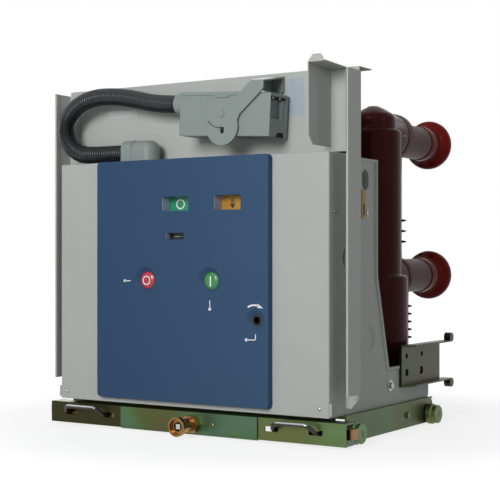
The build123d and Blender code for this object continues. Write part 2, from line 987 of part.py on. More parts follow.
# Shutter brackets: a folded plate each, with two nosed rails
def shutter_bracket():
    web_outer = bracket_x + bracket_web
    plate = block(half, web_outer, bracket_front, bracket_back, bracket_low, bracket_high)
    flange_outer = web_outer + bracket_flange
    flange = make_face(
        Polyline(
            (half, bracket_front, 0),
            (web_outer, bracket_front, 0),
            (flange_outer, bracket_front + bracket_taper, 0),
            (flange_outer, nose_back, 0),
            (half, nose_back, 0),
            close=True,
        )
    )
    for z0, z in (
        (bracket_low - bracket_web, bracket_low - nose_radius),
        (bracket_high, bracket_high + nose_radius),
    ):
        plate += Pos(0, 0, z0) * extrude(flange, bracket_web, dir=(0, 0, 1))
        plate += rod_x(nose_radius, half + 8, flange_outer, nose_back, z)
    for y, z, radius in bracket_holes:
        plate -= rod_x(radius, half - 1, web_outer + 1, bracket_front + y, bracket_low + z)
    y, z, width, height = bracket_notch
    plate -= block(
        half - 1,
        web_outer + 1,
        bracket_front + y,
        bracket_front + y + width,
        bracket_low + z,
        bracket_low + z + height,
    )
    return plate


bracket = shutter_bracket()
save("shutter_bracket_right", bracket)
save("shutter_bracket_left", other_side(bracket))

# Truck: side channels, deck and the cross member that holds the racking nut
channel_top = cover_bottom - deck
channel = block(
    channel_outer - channel_flange,
    channel_outer,
    channel_front,
    base_back,
    channel_bottom,
    channel_top,
)
channel -= block(
    channel_outer - channel_flange - 1,
    channel_outer - channel_wall,
    channel_front - 1,
    base_back + 1,
    channel_bottom + channel_wall,
    channel_top - channel_wall,
)
end_y = base_back - channel_end_radius
end_z = channel_top - channel_end_radius
end_corner = block(
    channel_outer - channel_flange, channel_outer, end_y, base_back, end_z, channel_top
)
end_corner -= rod_x(
    channel_end_radius, channel_outer - channel_flange, channel_outer, end_y, end_z
)
channel -= end_corner
for y in (wheel_front_y, wheel_back_y):
    channel += rod_x(axle_radius, channel_outer, channel_outer + wheel_width + 1, y, wheel_z)
save("truck_channel_right", channel)
save("truck_channel_left", other_side(channel))
truck_deck = block(
    -channel_outer, channel_outer, channel_front, base_back, channel_top, cover_bottom
)
lip_half = channel_outer - channel_flange
truck_deck += block(
    -lip_half, lip_half, channel_front, channel_front + deck, deck_lip, channel_top
)
truck_deck -= rod_y(
    screw_radius + 3, channel_front - 1, channel_front + deck + 1, screw_x, screw_z
)
save("truck_deck", truck_deck)

nut_y = 104.0
nut_block = block(screw_x - 34, screw_x + 34, nut_y, nut_y + 26, 5, channel_top)
nut_block -= rod_y(screw_radius + 0.3, nut_y - 1, nut_y + 27, screw_x, screw_z)
save("racking_nut", nut_block)


# Wheels on their stub axles
def wheel(side, y):
    inner = channel_outer + 1.0
    outer = inner + wheel_width
    disc = rod_x(wheel_radius, side * inner, side * (inner + wheel_tread), y, wheel_z)
    disc += rod_x(wheel_cap_radius, side * inner, side * outer, y, wheel_z)
    disc -= rod_x(axle_radius + axle_gap, side * (inner - 1), side * (outer + 1), y, wheel_z)
    circles = disc.edges().filter_by(GeomType.CIRCLE)
    rims = circles.sort_by(lambda edge: -edge.radius)[:2]
    cap = circles.sort_by(lambda edge: -abs(edge.center().X)).sort_by(
        lambda edge: abs(edge.radius - wheel_cap_radius)
    )
    cap_rim = max(cap[:2], key=lambda edge: abs(edge.center().X))
    return chamfer([*rims, cap_rim], 1.5)


for side, side_name in ((1, "right"), (-1, "left")):
    for y, end in ((wheel_front_y, "front"), (wheel_back_y, "rear")):
        save(f"wheel_{end}_{side_name}", wheel(side, y))

# Front beam: a folded middle section with an end plate each side
beam_half = beam_length / 2
mid_front = beam_front - beam_mid_proud
beam = plate_x(
    [
        (mid_front, beam_top),
        (mid_front, beam_bottom + beam_lip),
        (beam_front, beam_bottom - beam_mid_drop),
        (beam_front + beam_wall, beam_bottom - beam_mid_drop),
        (beam_front + beam_wall, beam_top),
    ],
    beam_mid_left,
    beam_mid_right,
)
beam += block(
    -beam_half + 2, beam_half - 2, beam_front + beam_wall, beam_back, beam_top - beam_wall, beam_top
)
beam += block(
    -beam_half + 2,
    beam_half - 2,
    beam_front + beam_wall,
    beam_back,
    beam_bottom,
    beam_bottom + beam_wall,
)
beam += block(screw_x - 26, screw_x + 26, beam_front, beam_back, beam_bottom, beam_top)
beam -= rod_y(screw_radius + axle_gap, beam_front - 5, beam_back + 1, screw_x, screw_z)
tongue_low = handle_z - tongue_height / 2
slide_front = beam_front + beam_wall + 5.5
for side in (-1, 1):
    beam += block(
        side * (beam_half - 80),
        side * (beam_half - 2),
        slide_front,
        beam_back,
        beam_bottom,
        tongue_low - tongue_gap,
    )
save("beam", beam)


def beam_plate(legs, x0, x1):
    """One end plate of the beam, with the two slots of its handle."""
    plate = block(x0, x1, beam_front, beam_front + beam_wall, beam_bottom, beam_top)
    inward = -handle_travel if legs[0] > 0 else handle_travel
    for leg in legs:
        low = min(leg, leg + inward) - handle_rod / 2 - 4
        high = max(leg, leg + inward) + handle_rod / 2 + 4
        plate -= block(
            low,
            high,
            beam_front - 1,
            beam_front + beam_wall + 1,
            handle_z - slot_height / 2,
            handle_z + slot_height / 2,
        )
    return plate


save("beam_plate_right", beam_plate(handle_legs_right, beam_mid_right, beam_half))
save("beam_plate_left", beam_plate(handle_legs_left, -beam_half, beam_mid_left))


# Chromed handles, each with the locking tongue that it draws in
def handle(legs, side):
    low, high = sorted(legs)
    front = beam_front - handle_reach
    path = FilletPolyline(
        (low, slide_front + 2, handle_z),
        (low, beam_front - 8, handle_z),
        (low + handle_sweep, front, handle_z + handle_rise),
        (high - handle_sweep, front, handle_z + handle_rise),
        (high, beam_front - 8, handle_z),
        (high, slide_front + 2, handle_z),
        radius=handle_bend,
    )
    section = Plane(origin=path @ 0, z_dir=path % 0) * Circle(handle_rod / 2)
    rod = sweep(section, path=path)
    tongue = block(
        side * min(abs(low), abs(high)) - side * 10,
        side * (beam_half + tongue_proud),
        slide_front,
        slide_front + tongue_depth,
        tongue_low,
        tongue_low + tongue_height,
    )
    return rod + tongue


save("handle_right", handle(handle_legs_right, 1))
save("handle_left", handle(handle_legs_left, -1))

# Racking screw: socket tube, hexagon, collar and the long thread behind the beam
hex_across = 30.0
spindle = rod_y(screw_radius, beam_front - 20, screw_end, screw_x, screw_z)
spindle += rod_y(11.5, collar_front + 4, beam_front - 17, screw_x, screw_z)
spindle += rod_y(collar_radius, collar_front, collar_front + collar_depth, screw_x, screw_z)
hexagon_nut = Plane.XZ * RegularPolygon(hex_across / 2, 6, major_radius=False)
spindle += extrude(Pos(screw_x, beam_front - 4, screw_z) * hexagon_nut, 13)
spindle -= rod_y(
    collar_radius - collar_rim, collar_front - 1, collar_front + collar_depth - 2, screw_x, screw_z
)
spindle -= rod_y(8.5, collar_front - 1, collar_front + 24, screw_x, screw_z)
stub_half = stub_across / 2
spindle += block(
    screw_x - stub_half,
    screw_x + stub_half,
    collar_front + stub_set_back,
    collar_front + 26,
    screw_z - stub_half,
    screw_z + stub_half,
)
save("racking_screw", spindle)
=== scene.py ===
import json
import math

import bmesh
import bpy
from mathutils import Matrix, Vector


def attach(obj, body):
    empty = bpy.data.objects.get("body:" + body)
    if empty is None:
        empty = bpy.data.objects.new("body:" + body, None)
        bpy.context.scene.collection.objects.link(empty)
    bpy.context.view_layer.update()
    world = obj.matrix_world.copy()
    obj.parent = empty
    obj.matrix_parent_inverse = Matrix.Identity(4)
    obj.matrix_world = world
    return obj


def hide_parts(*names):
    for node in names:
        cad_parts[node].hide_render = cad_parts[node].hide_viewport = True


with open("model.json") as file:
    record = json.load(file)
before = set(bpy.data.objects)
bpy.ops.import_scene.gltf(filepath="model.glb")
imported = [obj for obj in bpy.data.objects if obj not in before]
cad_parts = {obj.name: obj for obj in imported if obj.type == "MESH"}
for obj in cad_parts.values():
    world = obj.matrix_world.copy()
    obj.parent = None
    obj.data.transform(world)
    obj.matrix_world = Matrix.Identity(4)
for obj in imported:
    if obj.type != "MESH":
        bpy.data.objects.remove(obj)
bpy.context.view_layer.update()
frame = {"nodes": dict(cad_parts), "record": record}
scene = bpy.context.scene
nodes = frame["nodes"]
body_of_node = {n: body for body, group in frame["record"]["behaviour"]["bodies"].items() for n in group}

# Places are given as on the drawing, in mm: X from the middle pole, Y from the front cover, Z up
FRONT_TO_MIDDLE = 278.0
RAIL_LEVEL = -5.5


def at(x, y, z):
    """A drawing place as a point of the frame, in metres."""
    return Vector((x, y - FRONT_TO_MIDDLE, z - RAIL_LEVEL)) / 1000


# Camera at the photograph's height and angle, level, with its picture shifted up a little
CAMERA_PLACE = (1.2992, -2.1084, 0.3211)
CAMERA_TURN = 32.390
FOCAL_LENGTH = 89.077
SENSOR_WIDTH = 36
PICTURE_SHIFT = 0.0161
camera_data = bpy.data.cameras.new("camera")
camera_data.lens = FOCAL_LENGTH
camera_data.sensor_width = SENSOR_WIDTH
camera_data.shift_y = PICTURE_SHIFT
camera = bpy.data.objects.new("camera", camera_data)
camera.location = CAMERA_PLACE
camera.rotation_euler = (math.radians(90), 0, math.radians(CAMERA_TURN))
scene.collection.objects.link(camera)
scene.camera = camera


# Shader maths
class Value:
    """A shader number that can be used in a Python expression."""

    def __init__(self, finish, socket):
        self.finish = finish
        self.socket = socket

    def _math(self, operation, first, second):
        node = self.finish.node("ShaderNodeMath", {"operation": operation}, {0: first, 1: second})
        return Value(self.finish, node.outputs[0])

    def __add__(self, other):
        return self._math("ADD", self, other)

    def __radd__(self, other):
        return self._math("ADD", other, self)

    def __sub__(self, other):
        return self._math("SUBTRACT", self, other)

    def __rsub__(self, other):
        return self._math("SUBTRACT", other, self)

    def __mul__(self, other):
        return self._math("MULTIPLY", self, other)

    def __rmul__(self, other):
        return self._math("MULTIPLY", other, self)


class Finish:
    """One surface finish: a Principled shader and the nodes that vary it."""

    def __init__(self, name, **constants):
        self.material = bpy.data.materials.new(name)
        self.material.use_nodes = True
        self.tree = self.material.node_tree
        self.shader = self.tree.nodes["Principled BSDF"]
        self.place = self.node("ShaderNodeTexCoord").outputs["Object"]
        for socket, value in constants.items():
            self.shader.inputs[socket.replace("_", " ")].default_value = value

    def node(self, kind, settings=None, inputs=None):
        node = self.tree.nodes.new(kind)
        for key, value in (settings or {}).items():
            if key == "stops":
                ramp = node.color_ramp
                while len(ramp.elements) < len(value):
                    ramp.elements.new(0.5)
                for element, (position, colour) in zip(ramp.elements, value):
                    element.position = position
                    element.color = (*colour, 1)
            else:
                setattr(node, key, value)
        for key, value in (inputs or {}).items():
            socket = node.inputs[key]
            if isinstance(value, Value):
                value = value.socket
            if isinstance(value, bpy.types.NodeSocket):
                self.tree.links.new(value, socket)
            elif socket.type == "RGBA":
                socket.default_value = (*value, 1)
            else:
                socket.default_value = value
        return node

    def feed(self, socket, value):
        source = value.socket if isinstance(value, Value) else value
        self.tree.links.new(source, self.shader.inputs[socket])

    def noise(self, scale, detail=2.0, stretch=None):
        place = self.place
        if stretch:
            place = self.node("ShaderNodeMapping", {}, {"Vector": place, "Scale": stretch}).outputs[0]
        node = self.node(
            "ShaderNodeTexNoise", {}, {"Vector": place, "Scale": scale, "Detail": detail}
        )
        return Value(self, node.outputs[0])

    def axis(self, name):
        node = self.node("ShaderNodeSeparateXYZ", {}, {0: self.place})
        return Value(self, node.outputs[name])

    def span(self, value, low, high):
        """0 below the low value, 1 above the high one, eased between them."""
        node = self.node(
            "ShaderNodeMapRange",
            {"interpolation_type": "SMOOTHSTEP"},
            {0: value, 1: low, 2: high, 3: 0.0, 4: 1.0},
        )
        return Value(self, node.outputs[0])

    def blend(self, factor, first, second):
        node = self.node(
            "ShaderNodeMix",
            {"data_type": "RGBA", "blend_type": "MIX"},
            {0: factor, 6: first, 7: second},
        )
        return node.outputs[2]

    def ramp(self, factor, stops):
        return self.node("ShaderNodeValToRGB", {"stops": stops}, {0: factor}).outputs[0]

    def relief(self, height, depth, edge=0.0):
        """Fine relief of that depth in metres, over edges eased by a small radius."""
        inputs = {"Height": height, "Distance": depth, "Strength": 1.0}
        if edge:
            inputs["Normal"] = self.node(
                "ShaderNodeBevel", {"samples": 4}, {"Radius": edge}
            ).outputs[0]
        self.feed("Normal", self.node("ShaderNodeBump", {}, inputs).outputs[0])


# Places along an axis of the frame, in metres, where a finish or its painted reflection changes
PANEL_HALF_WIDTH = 0.195
BOSS_START = 0.1225
BOSS_FULL = 0.1245
# Heights between which the rod's painted reflection turns from painted shade to painted highlight
ROD_PAINTED_SHADE_BELOW = 0.0368
ROD_PAINTED_HIGHLIGHT_ABOVE = 0.0402
RESIN_SHEEN = (1.0, 0.62, 0.60, 1)
RUBBER_SHEEN = (1.0, 0.75, 0.73, 1)


def tinted(colour, amount):
    """A colour made lighter or darker by a factor."""
    return tuple(min(1.0, part * amount) for part in colour)


def painted_sheet(name, colour, roughness, edge=0.0007):
    """Satin powder coat: fine orange peel and a slight cloudiness."""
    finish = Finish(name, Specular_IOR_Level=0.30)
    cloud = finish.noise(7.0, 4.0)
    peel = finish.noise(520.0, 1.5)
    finish.feed("Base Color", finish.blend(cloud, tinted(colour, 0.94), tinted(colour, 1.05)))
    finish.feed("Roughness", roughness + 0.10 * (finish.noise(60.0) - 0.5))
    finish.relief(peel, 0.00006, edge)
    return finish.material


def moulded_panel():
    """Blue moulded panel with a fine spark-eroded grain and a painted light gradient, lighter towards
    the right.
    """
    finish = Finish("panel_moulding", Specular_IOR_Level=0.16)
    # Painted light: the blue is made lighter towards the right of the panel, where more light falls
    painted_light_across = finish.span(finish.axis("X"), -PANEL_HALF_WIDTH, PANEL_HALF_WIDTH)
    colour = finish.blend(painted_light_across, (0.026, 0.064, 0.136), (0.036, 0.080, 0.156))
    grain = finish.noise(1500.0, 1.0)
    finish.feed("Base Color", finish.blend(0.25 * finish.noise(9.0, 3.0), colour, (0.026, 0.054, 0.106)))
    finish.feed("Roughness", 0.46 + 0.12 * grain)
    finish.relief(grain, 0.00004, 0.0012)
    return finish.material


def cast_resin(name, dark, light, roughness, gloss):
    """Glossy cast epoxy with faint flow clouds."""
    finish = Finish(name, Specular_IOR_Level=gloss, Specular_Tint=RESIN_SHEEN)
    cloud = finish.noise(11.0, 5.0)
    finish.feed("Base Color", finish.blend(cloud, dark, light))
    finish.feed("Roughness", roughness + 0.10 * finish.noise(38.0, 3.0))
    finish.relief(finish.noise(90.0, 1.0), 0.00005, 0.0012)
    return finish.material


def pole_casting():
    """Glossy dark red epoxy poles, with the contact bosses left rougher and given a painted reflection
    in a lighter, greyer base colour.
    """
    finish = Finish("pole_resin", Specular_IOR_Level=0.075, Specular_Tint=RESIN_SHEEN)
    cloud = finish.noise(11.0, 5.0)
    gloss = finish.blend(cloud, (0.044, 0.0052, 0.0062), (0.062, 0.0074, 0.0086))
    # The bosses' higher roughness is real; their lighter, greyer base colour is a painted reflection
    satin_painted_reflection = finish.blend(cloud, (0.092, 0.044, 0.041), (0.120, 0.060, 0.055))
    rear = finish.span(finish.axis("Y"), BOSS_START, BOSS_FULL)
    finish.feed("Base Color", finish.blend(rear, gloss, satin_painted_reflection))
    finish.feed("Roughness", 0.14 + 0.08 * finish.noise(38.0, 3.0) + 0.26 * rear)
    finish.relief(finish.noise(90.0, 1.0), 0.00005, 0.0012)
    return finish.material


def rubber_sleeve():
    """Satin brown-red rubber of the arm sleeves."""
    finish = Finish("sleeve_rubber", Specular_IOR_Level=0.12, Specular_Tint=RUBBER_SHEEN)
    cloud = finish.noise(45.0, 4.0)
    finish.feed("Base Color", finish.blend(cloud, (0.056, 0.024, 0.023), (0.086, 0.038, 0.036)))
    finish.feed("Roughness", 0.36 + 0.14 * finish.noise(120.0, 2.0))
    finish.relief(finish.noise(700.0, 2.0), 0.00004)
    return finish.material


def passivated_zinc(name, level, shift, spread):
    """Zinc plate with the olive, green, copper and violet bloom of yellow passivation."""
    finish = Finish(name)
    bloom = finish.noise(4.2, 2.0, (1.0, 1.0, 0.45))
    streak = finish.noise(70.0, 2.0, (0.15, 1.0, 1.0))
    tone = finish.ramp(
        0.5 + shift + spread * (bloom - 0.5) + 0.08 * (streak - 0.5),
        [
            (0.22, tinted((0.130, 0.072, 0.036), level)),
            (0.38, tinted((0.104, 0.090, 0.034), level)),
            (0.50, tinted((0.084, 0.108, 0.038), level)),
            (0.61, tinted((0.080, 0.158, 0.070), level)),
            (0.70, tinted((0.080, 0.150, 0.112), level)),
            (0.80, tinted((0.150, 0.130, 0.140), level)),
        ],
    )
    finish.feed("Base Color", tone)
    finish.feed("Metallic", 0.78 + 0.16 * bloom)
    finish.feed("Roughness", 0.26 + 0.20 * streak)
    finish.relief(finish.noise(260.0, 3.0, (0.12, 1.0, 1.0)), 0.00003, 0.0006)
    return finish.material


def drawn_chrome():
    """Polished rod with a painted reflection: painted shade below and a painted highlight along its
    upper side.
    """
    finish = Finish("polished_chrome", Metallic=1.0)
    # Painted reflection: the base colour is dark on the rod's lower side and bright along its upper side
    upper = finish.span(finish.axis("Z"), ROD_PAINTED_SHADE_BELOW, ROD_PAINTED_HIGHLIGHT_ABOVE)
    shade = upper + 0.12 * (finish.noise(55.0, 2.0) - 0.5)
    finish.feed("Base Color", finish.blend(shade, (0.045, 0.045, 0.042), (0.62, 0.63, 0.64)))
    finish.feed("Roughness", 0.06 + 0.06 * finish.noise(300.0))
    finish.relief(finish.noise(700.0, 1.0), 0.00001)
    return finish.material


def plain_metal(name, dark, light, roughness, brushed=(1.0, 1.0, 1.0)):
    """Bare or plated metal, with its grain drawn out along the axes that are scaled down."""
    finish = Finish(name, Metallic=1.0)
    grain = finish.noise(300.0, 3.0, brushed)
    finish.feed("Base Color", finish.blend(finish.noise(24.0, 3.0), dark, light))
    finish.feed("Roughness", roughness + 0.12 * grain)
    finish.relief(grain, 0.00002, 0.0004)
    return finish.material


def plain_plastic(name, colour, roughness, coat=0.0):
    """Moulded plastic or plain paint, with a clear coat where it is glossy."""
    finish = Finish(name)
    finish.shader.inputs["Coat Weight"].default_value = coat
    cloud = finish.noise(50.0, 3.0)
    finish.feed("Base Color", finish.blend(cloud, tinted(colour, 0.9), tinted(colour, 1.08)))
    finish.feed("Roughness", roughness + 0.08 * finish.noise(150.0))
    finish.relief(finish.noise(900.0, 1.0), 0.00002, 0.0004)
    return finish.material


def hose_rubber():
    """Dark blue-black corrugated conduit."""
    finish = Finish("hose_polyamide")
    cloud = finish.noise(60.0, 3.0)
    finish.feed("Base Color", finish.blend(cloud, (0.007, 0.009, 0.013), (0.013, 0.016, 0.022)))
    finish.feed("Roughness", 0.24 + 0.14 * finish.noise(240.0, 2.0))
    finish.relief(finish.noise(900.0, 2.0), 0.00003)
    return finish.material


def label_film(name, colour):
    """Matt ink or label film."""
    finish = Finish(name)
    cloud = finish.noise(80.0, 2.0)
    finish.feed("Base Color", finish.blend(cloud, tinted(colour, 0.96), tinted(colour, 1.03)))
    finish.feed("Roughness", 0.50 + 0.10 * finish.noise(300.0))
    finish.relief(finish.noise(1200.0, 1.0), 0.00001)
    return finish.material


# The finishes in use
COVER = (0.415, 0.430, 0.410)
SHEET = (0.440, 0.460, 0.440)
PLUG = (0.235, 0.275, 0.262)
LATHE_MARKS = (1.0, 0.1, 1.0)

cover_paint = painted_sheet("cover_coat", COVER, 0.50)
sheet_paint = painted_sheet("sheet_coat", SHEET, 0.48)
plug_paint = painted_sheet("plug_coat", PLUG, 0.42, 0.0010)
panel_plastic = moulded_panel()
pole_resin = pole_casting()
ring_resin = cast_resin("ring_resin", (0.122, 0.0062, 0.0048), (0.185, 0.0092, 0.0070), 0.10, 0.055)
sleeve_finish = rubber_sleeve()
zinc = passivated_zinc("zinc_bloom", 0.80, -0.05, 0.55)
zinc_dark = passivated_zinc("zinc_bloom_dark", 0.38, -0.07, 0.50)
zinc_light = passivated_zinc("zinc_bloom_light", 1.0, 0.12, 1.15)
zinc_gold = passivated_zinc("zinc_bloom_gold", 1.35, -0.02, 0.55)
chrome = drawn_chrome()
copper = plain_metal("copper_passivated", (0.22, 0.105, 0.040), (0.34, 0.200, 0.075), 0.14)
silver = plain_metal("silver_plate", (0.78, 0.76, 0.72), (0.88, 0.87, 0.84), 0.16, LATHE_MARKS)
aluminium = plain_metal("turned_aluminium", (0.70, 0.71, 0.72), (0.82, 0.82, 0.83), 0.24, LATHE_MARKS)
spring_wire = plain_metal("spring_wire", (0.46, 0.46, 0.47), (0.60, 0.60, 0.60), 0.22)
bright_zinc = plain_metal("bright_zinc", (0.26, 0.27, 0.26), (0.36, 0.36, 0.35), 0.20)
yellow_strip = plain_plastic("strip_ochre", (0.30, 0.175, 0.020), 0.45)
black_steel = plain_metal("black_steel", (0.030, 0.026, 0.024), (0.050, 0.042, 0.036), 0.38)
red_plastic = plain_plastic("button_red", (0.46, 0.016, 0.026), 0.24, 0.4)
green_plastic = plain_plastic("button_green", (0.018, 0.210, 0.048), 0.24, 0.4)
flag_green = plain_plastic("flag_green", (0.016, 0.260, 0.130), 0.35)
flag_amber = plain_plastic("flag_amber", (0.420, 0.215, 0.020), 0.35)
counter_black = plain_plastic("counter_black", (0.008, 0.008, 0.009), 0.30)
reveal_grey = plain_plastic("reveal_grey", (0.420, 0.450, 0.600), 0.42)
# Near-black plates painted as the shade inside slots, hollows and gaps
painted_shade = plain_plastic("painted_shade", (0.006, 0.006, 0.007), 0.80)
white_ink = label_film("white_ink", (0.80, 0.82, 0.84))
black_ink = label_film("black_ink", (0.010, 0.009, 0.008))
paper_white = label_film("label_white", (0.52, 0.53, 0.52))
paper_blue = label_film("label_bluish", (0.36, 0.41, 0.47))
hose_finish = hose_rubber()


# Making pieces
MERGE_WITHIN = 1e-6
EDGE_ROUND = 0.0004


def finished(name, shape, material, body, crease=35.0):
    """A finished piece from a bmesh, smooth except along its creases."""
    limit = math.radians(crease)
    for face in shape.faces:
        face.smooth = True
    for edge in shape.edges:
        edge.smooth = len(edge.link_faces) == 2 and edge.calc_face_angle(0.0) < limit
    mesh = bpy.data.meshes.new(name)
    shape.to_mesh(mesh)
    shape.free()
    mesh.materials.append(material)
    piece = bpy.data.objects.new(name, mesh)
    scene.collection.objects.link(piece)
    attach(piece, body)
    return piece


def repainted(piece, material, picks):
    """Another material on the faces whose middle, as a drawing place, is picked."""
    piece.data.materials.append(material)
    for face in piece.data.polygons:
        x, y, z = face.center * 1000
        if picks(x, y + FRONT_TO_MIDDLE, z + RAIL_LEVEL):
            face.material_index = 1


def dressed(node, material):
    """A merged, smoothly shaded copy of a CAD node that stands for it."""
    shape = bmesh.new()
    shape.from_mesh(nodes[node].data)
    bmesh.ops.remove_doubles(shape, verts=shape.verts, dist=MERGE_WITHIN)
    piece = finished(node + "_dressed", shape, material, body_of_node[node])
    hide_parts(node)
    return piece


def coated(node, material):
    """A CAD node that keeps its mesh and gets its finish."""
    mesh = nodes[node].data
    mesh.materials.clear()
    mesh.materials.append(material)


def add_block(shape, low, high):
    """A box between two drawing places."""
    a = at(*low)
    b = at(*high)
    made = bmesh.ops.create_cube(shape, size=1.0)
    for vertex in made["verts"]:
        vertex.co = Vector(
            (a[i] + (vertex.co[i] + 0.5) * (b[i] - a[i]) for i in range(3))
        )


def add_plate(shape, outline, y0, y1):
    """A flat plate from its outline in X and Z, between two depths."""
    front = [shape.verts.new(at(x, y0, z)) for x, z in outline]
    back = [shape.verts.new(at(x, y1, z)) for x, z in outline]
    count = len(outline)
    shape.faces.new(front)
    shape.faces.new(list(reversed(back)))
    for i in range(count):
        j = (i + 1) % count
        shape.faces.new((front[j], front[i], back[i], back[j]))


def circle(x, z, radius, count=32, start=0.0, turn=360.0):
    """Points along an arc in the XZ plane."""
    whole = abs(turn) >= 360.0
    steps = count if whole else count - 1
    return [
        (
            x + radius * math.cos(math.radians(start + turn * i / steps)),
            z + radius * math.sin(math.radians(start + turn * i / steps)),
        )
        for i in range(count)
    ]


def band(points_outer, points_inner, y0, y1, shape, closed):
    """A printed band between two rows of points."""
    rows = []
    for points, y in ((points_outer, y0), (points_inner, y0), (points_inner, y1), (points_outer, y1)):
        rows.append([shape.verts.new(at(x, y, z)) for x, z in points])
    count = len(points_outer)
    last = count if closed else count - 1
    for i in range(last):
        j = (i + 1) % count
        for k in range(4):
            m = (k + 1) % 4
            shape.faces.new((rows[k][i], rows[k][j], rows[m][j], rows[m][i]))
    if not closed:
        for i in (0, count - 1):
            shape.faces.new([rows[k][i] for k in range(4)])


def outward(shape):
    """Turns every face of closed shells outwards."""
    bmesh.ops.recalc_face_normals(shape, faces=shape.faces)


def eased(shape):
    """Rounds every edge a little."""
    edges = shape.edges[:]
    bmesh.ops.bevel(shape, geom=edges, offset=EDGE_ROUND, segments=2, profile=0.7, affect="EDGES")


# Corrugated conduit from the plug to the gland, on the route of the drawing
HOSE_RADIUS = 16.5
HOSE_ROUTE = [
    (-7.71, 20, 596.72),
    (-44.65, 20, 598.78),
    (-88, 20, 604),
    (-132, 19, 615),
    (-176, 18, 622.5),
    (-226, 17, 624),
    (-270, 16, 611),
    (-299, 16, 581),
    (-296, 16, 544),
    (-265, 17, 515.5),
    (-222, 18, 513),
    (-188, 20, 513),
    (-155, 20, 513),
]
RIB_PITCH = 5.2
RIB_DEPTH = 2.6
RIB_PROFILE = (0.0, 0.10, 0.55, 1.0, 0.95, 0.40)
RINGS_PER_RIB = len(RIB_PROFILE)
HOSE_SIDES = 28


def route_points(route):
    """The smooth line of a route, as close points."""
    curve = bpy.data.curves.new("hose_route", "CURVE")
    curve.dimensions = "3D"
    spline = curve.splines.new("NURBS")
    spline.points.add(len(route) - 1)
    for point, place in zip(spline.points, route):
        point.co = (*at(*place), 1)
    spline.order_u = 3
    spline.use_endpoint_u = True
    spline.resolution_u = 40
    holder = bpy.data.objects.new("hose_route", curve)
    scene.collection.objects.link(holder)
    graph = bpy.context.evaluated_depsgraph_get()
    mesh = bpy.data.meshes.new_from_object(holder.evaluated_get(graph))
    points = [vertex.co.copy() for vertex in mesh.vertices]
    bpy.data.objects.remove(holder)
    return points


def even_points(points, count):
    """The same line at even steps."""
    marks = [0.0]
    for a, b in zip(points, points[1:]):
        marks.append(marks[-1] + (b - a).length)
    even = []
    seat = 0
    for i in range(count):
        mark = marks[-1] * i / (count - 1)
        while seat < len(points) - 2 and marks[seat + 1] < mark:
            seat += 1
        part = (mark - marks[seat]) / max(marks[seat + 1] - marks[seat], 1e-9)
        even.append(points[seat].lerp(points[seat + 1], part))
    return even, marks[-1]


hose_line = route_points(HOSE_ROUTE)
hose_length = even_points(hose_line, 2)[1]
hose_ribs = round(hose_length * 1000 / RIB_PITCH)
hose_rings, hose_length = even_points(hose_line, hose_ribs * RINGS_PER_RIB + 1)
hose = bmesh.new()
side_way = None
previous = None
for index, centre in enumerate(hose_rings):
    ahead = hose_rings[min(index + 1, len(hose_rings) - 1)] - hose_rings[max(index - 1, 0)]
    ahead.normalize()
    if side_way is None:
        side_way = ahead.orthogonal().normalized()
    side_way = (side_way - ahead * side_way.dot(ahead)).normalized()
    up_way = ahead.cross(side_way)
    radius = (HOSE_RADIUS - RIB_DEPTH * (1 - RIB_PROFILE[index % RINGS_PER_RIB])) / 1000
    ring = []
    for step in range(HOSE_SIDES):
        turn = 2 * math.pi * step / HOSE_SIDES
        outwards = math.cos(turn) * side_way + math.sin(turn) * up_way
        ring.append(hose.verts.new(centre + radius * outwards))
    if previous is None:
        hose.faces.new(list(reversed(ring)))
    else:
        for step in range(HOSE_SIDES):
            other = (step + 1) % HOSE_SIDES
            hose.faces.new((previous[step], previous[other], ring[other], ring[step]))
    previous = ring
hose.faces.new(previous)
outward(hose)
conduit = finished("conduit_ribbed", hose, hose_finish, "breaker", 60.0)
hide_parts("conduit")
tuple(at(*HOSE_ROUTE[0]))

# Finishes of the CAD nodes that keep their mesh
coated("front_cover", cover_paint)
for node in (
    "mechanism_housing",
    "side_frame_right",
    "side_frame_left",
    "rear_base",
    "mask_plate",
    "guide_right",
    "guide_left",
    "plug_wing",
):
    coated(node, sheet_paint)
coated("plug_base", plug_paint)
coated("panel", panel_plastic)
coated("contact_flag", flag_green)
coated("spring_flag", flag_amber)
coated("counter", counter_black)
for node in ("shutter_bracket_right", "shutter_bracket_left", "beam_plate_left"):
    coated(node, zinc_dark)
for node in ("truck_channel_right", "truck_channel_left", "truck_deck"):
    coated(node, zinc)
coated("beam_plate_right", zinc_gold)
coated("beam", zinc_light)
coated("racking_nut", copper)

# Turned, cast and bent nodes get smooth copies
for node, material in (
    ("pole_a", pole_resin),
    ("pole_b", pole_resin),
    ("pole_c", pole_resin),
    ("shield_rings", ring_resin),
    ("arm_sleeves", sleeve_finish),
    ("contact_arms", aluminium),
    ("contact_clusters", silver),
    ("garter_springs", spring_wire),
    ("trip_button", red_plastic),
    ("close_button", green_plastic),
    ("charging_shaft", black_steel),
    ("wheel_front_right", zinc_gold),
    ("wheel_front_left", zinc_gold),
    ("wheel_rear_right", zinc_gold),
    ("wheel_rear_left", zinc_gold),
    ("plug_hood", plug_paint),
    ("plug_lever", plug_paint),
    ("gland", plug_paint),
):
    dressed(node, material)

# Handles with their tongues, and the racking screw with its square end
TONGUE_FRONT = 14.0
SCREW_AXIS = (14.0, 16.0)
STUB_REACH = 7
STUB_BACK = -28
for node in ("handle_right", "handle_left"):
    repainted(dressed(node, chrome), copper, lambda x, y, z: y > TONGUE_FRONT)
repainted(
    dressed("racking_screw", copper),
    spring_wire,
    lambda x, y, z: y < STUB_BACK and math.hypot(x - SCREW_AXIS[0], z - SCREW_AXIS[1]) < STUB_REACH,
)

# White prints on the panel
PANEL_FACE = -12.0
INK = 0.15
STROKE = 1.7
ARROW_DOT = 2.9
CRANK_MARK = (155, 206)


